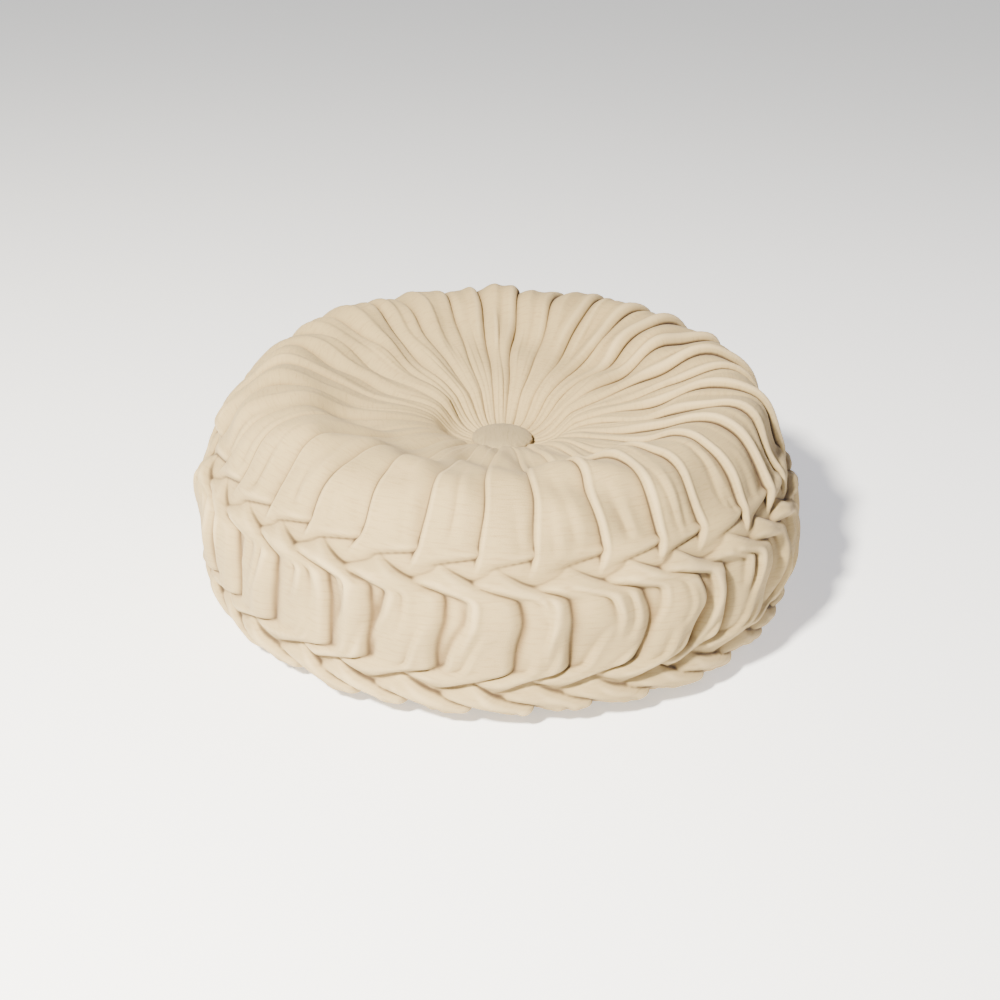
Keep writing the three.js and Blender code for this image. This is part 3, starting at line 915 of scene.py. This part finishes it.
button_finish, at = new_finish("shaded_beige_velvet")
place = at.node("ShaderNodeTexCoord", {}, {}, "Object")
weave = place.stretched((420, 90, 1)).noise(1, 4, 0.6)
nap = place.noise(2600, 2)
# Painted shade: the button's velvet is coloured darker than the cover's.
shaded_beige = place.noise(90, 3).between(0.3, 0.7).blend(SHADED_BEIGE, DEEPER_SHADED_BEIGE)
set_surface(
    button_finish,
    base_color=shaded_beige.tint((0.88, 0.86, 0.82, 1), weave.between(0.48, 0.70)),
    roughness=0.9,
    sheen_weight=0.05,
    sheen_roughness=0.5,
    sheen_tint=(1.0, 0.95, 0.88, 1),
    normal=nap.bump(0.0003, under=weave.bump(0.0003)),
)
for name, node, up in (("top_button", "top_button_cloth", 1), ("lower_button", "lower_button_cloth", -1)):
    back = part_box(node)[0 if up > 0 else 1].z
    piece = button_cloth(name, back, up)
    piece.data.materials.append(button_finish)
    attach(piece, "root")
    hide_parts(node)

tin, at = new_finish("pressed_tin")
place = at.node("ShaderNodeTexCoord", {}, {}, "Object")
smears = place.noise(220, 4)
set_surface(
    tin,
    base_color=smears.between(0.35, 0.7).blend((0.72, 0.72, 0.71, 1), (0.62, 0.62, 0.61, 1)),
    metallic=1.0,
    roughness=smears.between(0.2, 0.8) * 0.18 + 0.24,
)
for face in ("top_button", "lower_button"):
    give_finish(tin, face + "_shell", face + "_back_plate", face + "_shank")

# ---------------------------------------------------------------------------------------------------
# The threads. Smocking threads run behind the two rows of stitches, a seam thread closes the cover
# down the back, another joins the lining round its edge, and one draws in the cover at each button.
THREAD_WIDTH = 0.0009
THREAD_SIDES = 8
UPPER_THREAD_DEPTH = 0.0066
LOWER_THREAD_DEPTH = 0.0070
CLOSING_THREAD_DEPTH = 0.0080
STITCH_REACH = 0.0015


def thread(name, path, beside, closed):
    """A round thread along a path; beside holds a direction square to it at every point."""
    if closed:
        along = np.roll(path, -1, axis=0) - np.roll(path, 1, axis=0)
    else:
        along = np.gradient(path, axis=0)
    along /= np.linalg.norm(along, axis=1)[:, None]
    beside = beside - (beside * along).sum(axis=1)[:, None] * along
    beside /= np.linalg.norm(beside, axis=1)[:, None]
    other = np.cross(beside, along)
    turn = np.linspace(0, 2 * math.pi, THREAD_SIDES, endpoint=False)
    ring = np.cos(turn)[None, :, None] * beside[:, None] + np.sin(turn)[None, :, None] * other[:, None]
    verts = (path[:, None] + THREAD_WIDTH / 2 * ring).reshape(-1, 3)
    count = len(path)
    faces = ring_faces(count, THREAD_SIDES).tolist()
    last = (count - 1) * THREAD_SIDES
    if closed:
        for side in range(THREAD_SIDES):
            after = (side + 1) % THREAD_SIDES
            faces.append([last + side, side, after, last + after])
    else:
        faces.append(list(range(THREAD_SIDES)))
        faces.append(list(range(last + THREAD_SIDES - 1, last - 1, -1)))
    return add_piece(name, verts, faces)


def thread_round(name, row, depth, reach=0.0):
    """A thread right round the pad, running in and out of the folds by its reach."""
    turns = np.linspace(0, 2 * math.pi, 768, endpoint=False)
    lengths = row + (row_stray(turns) if reach else 0) + reach * np.cos(PLEATS * turns)
    path = on_the_pad(turns, lengths, settled(turns, lengths) - depth)
    beside = np.stack([np.sin(turns), -np.cos(turns), 0 * turns], axis=-1)
    return thread(name, path, beside, True)


upper_thread = thread_round("upper_row_thread", UPPER_ROW, UPPER_THREAD_DEPTH, STITCH_REACH)
lower_thread = thread_round("lower_row_thread", LOWER_ROW, LOWER_THREAD_DEPTH, STITCH_REACH)
seam_thread = thread_round("lining_seam_thread", LINING_SEAM, LINING_DEPTH - 0.0006)
lengths = np.linspace(0.004, OUTLINE_END - 0.004, 400)
turns = np.full(len(lengths), math.pi)
stitches = 0.0004 * np.sin(2500 * lengths)
back_path = on_the_pad(turns, lengths, settled(turns, lengths) - CLOSING_THREAD_DEPTH + stitches)
back_thread = thread("closing_thread", back_path, np.tile([1.0, 0.0, 0.0], (len(lengths), 1)), False)

cotton, at = new_finish("cream_cotton_thread")
place = at.node("ShaderNodeTexCoord", {}, {}, "Object")
ply = place.stretched((1, 1, 0.4)).noise(2400, 3)
set_surface(
    cotton,
    base_color=ply.between(0.35, 0.65).blend((0.66, 0.56, 0.40, 1), (0.52, 0.43, 0.30, 1)),
    roughness=0.75,
    normal=ply.bump(0.0002),
)
for piece, node in (
    (upper_thread, "upper_smocking_thread"),
    (lower_thread, "lower_smocking_thread"),
    (seam_thread, "lining_edge_seam"),
    (back_thread, "closing_seam_thread"),
):
    piece.data.materials.append(cotton)
    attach(piece, "root")
    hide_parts(node)
give_finish(cotton, "top_gather_thread", "lower_gather_thread")

# ---------------------------------------------------------------------------------------------------
# The tufting twine: waxed flax, taken through both shanks and the filling and knotted tight, so that
# it holds the two buttons drawn towards each other.
flax, at = new_finish("waxed_flax_twine")
place = at.node("ShaderNodeTexCoord", {}, {}, "Object")
lay = at.node(
    "ShaderNodeTexWave",
    {"bands_direction": "DIAGONAL"},
    {"Vector": place, "Scale": 260, "Distortion": 1.0},
)
set_surface(
    flax,
    base_color=lay.between(0.2, 0.8).blend((0.46, 0.38, 0.26, 1), (0.60, 0.52, 0.38, 1)),
    roughness=0.5,
    normal=lay.bump(0.0003),
)
give_finish(flax, "tufting_twine")

# ---------------------------------------------------------------------------------------------------
# The floor and the light: a white studio floor that glows a little, one soft lamp to the left in
# front of the pad, and two faint ones, warm on the left and cool on the right.
floor_mesh = bpy.data.meshes.new("floor")
floor_mesh.from_pydata([(-6, -6, 0), (6, -6, 0), (6, 6, 0), (-6, 6, 0)], [], [(0, 1, 2, 3)])
floor = bpy.data.objects.new("floor", floor_mesh)
bpy.context.scene.collection.objects.link(floor)
floor.location.z = -0.0005
pale, at = new_finish("pale_floor")
set_surface(
    pale,
    base_color=(0.9, 0.9, 0.9, 1),
    roughness=0.9,
    emission_color=(1, 1, 1, 1),
    emission_strength=0.7,
)
floor_mesh.materials.append(pale)

world = bpy.data.worlds.new("studio")
bpy.context.scene.world = world
world.use_nodes = True
world.node_tree.nodes["Background"].inputs["Color"].default_value = (1, 1, 1, 1)
world.node_tree.nodes["Background"].inputs["Strength"].default_value = 0.05


def soft_box(name, place, size, watts, colour):
    """A round lamp that faces the pad."""
    lamp = bpy.data.lights.new(name, "AREA")
    lamp.shape = "DISK"
    lamp.size = size
    lamp.energy = watts
    lamp.color = colour
    light = bpy.data.objects.new(name, lamp)
    light.location = place
    light.rotation_mode = "QUATERNION"
    light.rotation_quaternion = (Vector(place) - Vector((0, 0, 0.07))).to_track_quat("Z", "Y")
    bpy.context.scene.collection.objects.link(light)


soft_box("key", (-0.58, -1.08, 1.12), 0.16, 148, (1.0, 0.955, 0.85))
soft_box("warm_side", (-1.3, 0.2, 0.8), 0.7, 2, (1.0, 0.75, 0.42))
soft_box("cool_side", (1.2, 0.1, 0.9), 0.7, 5, (0.70, 0.68, 1.0))
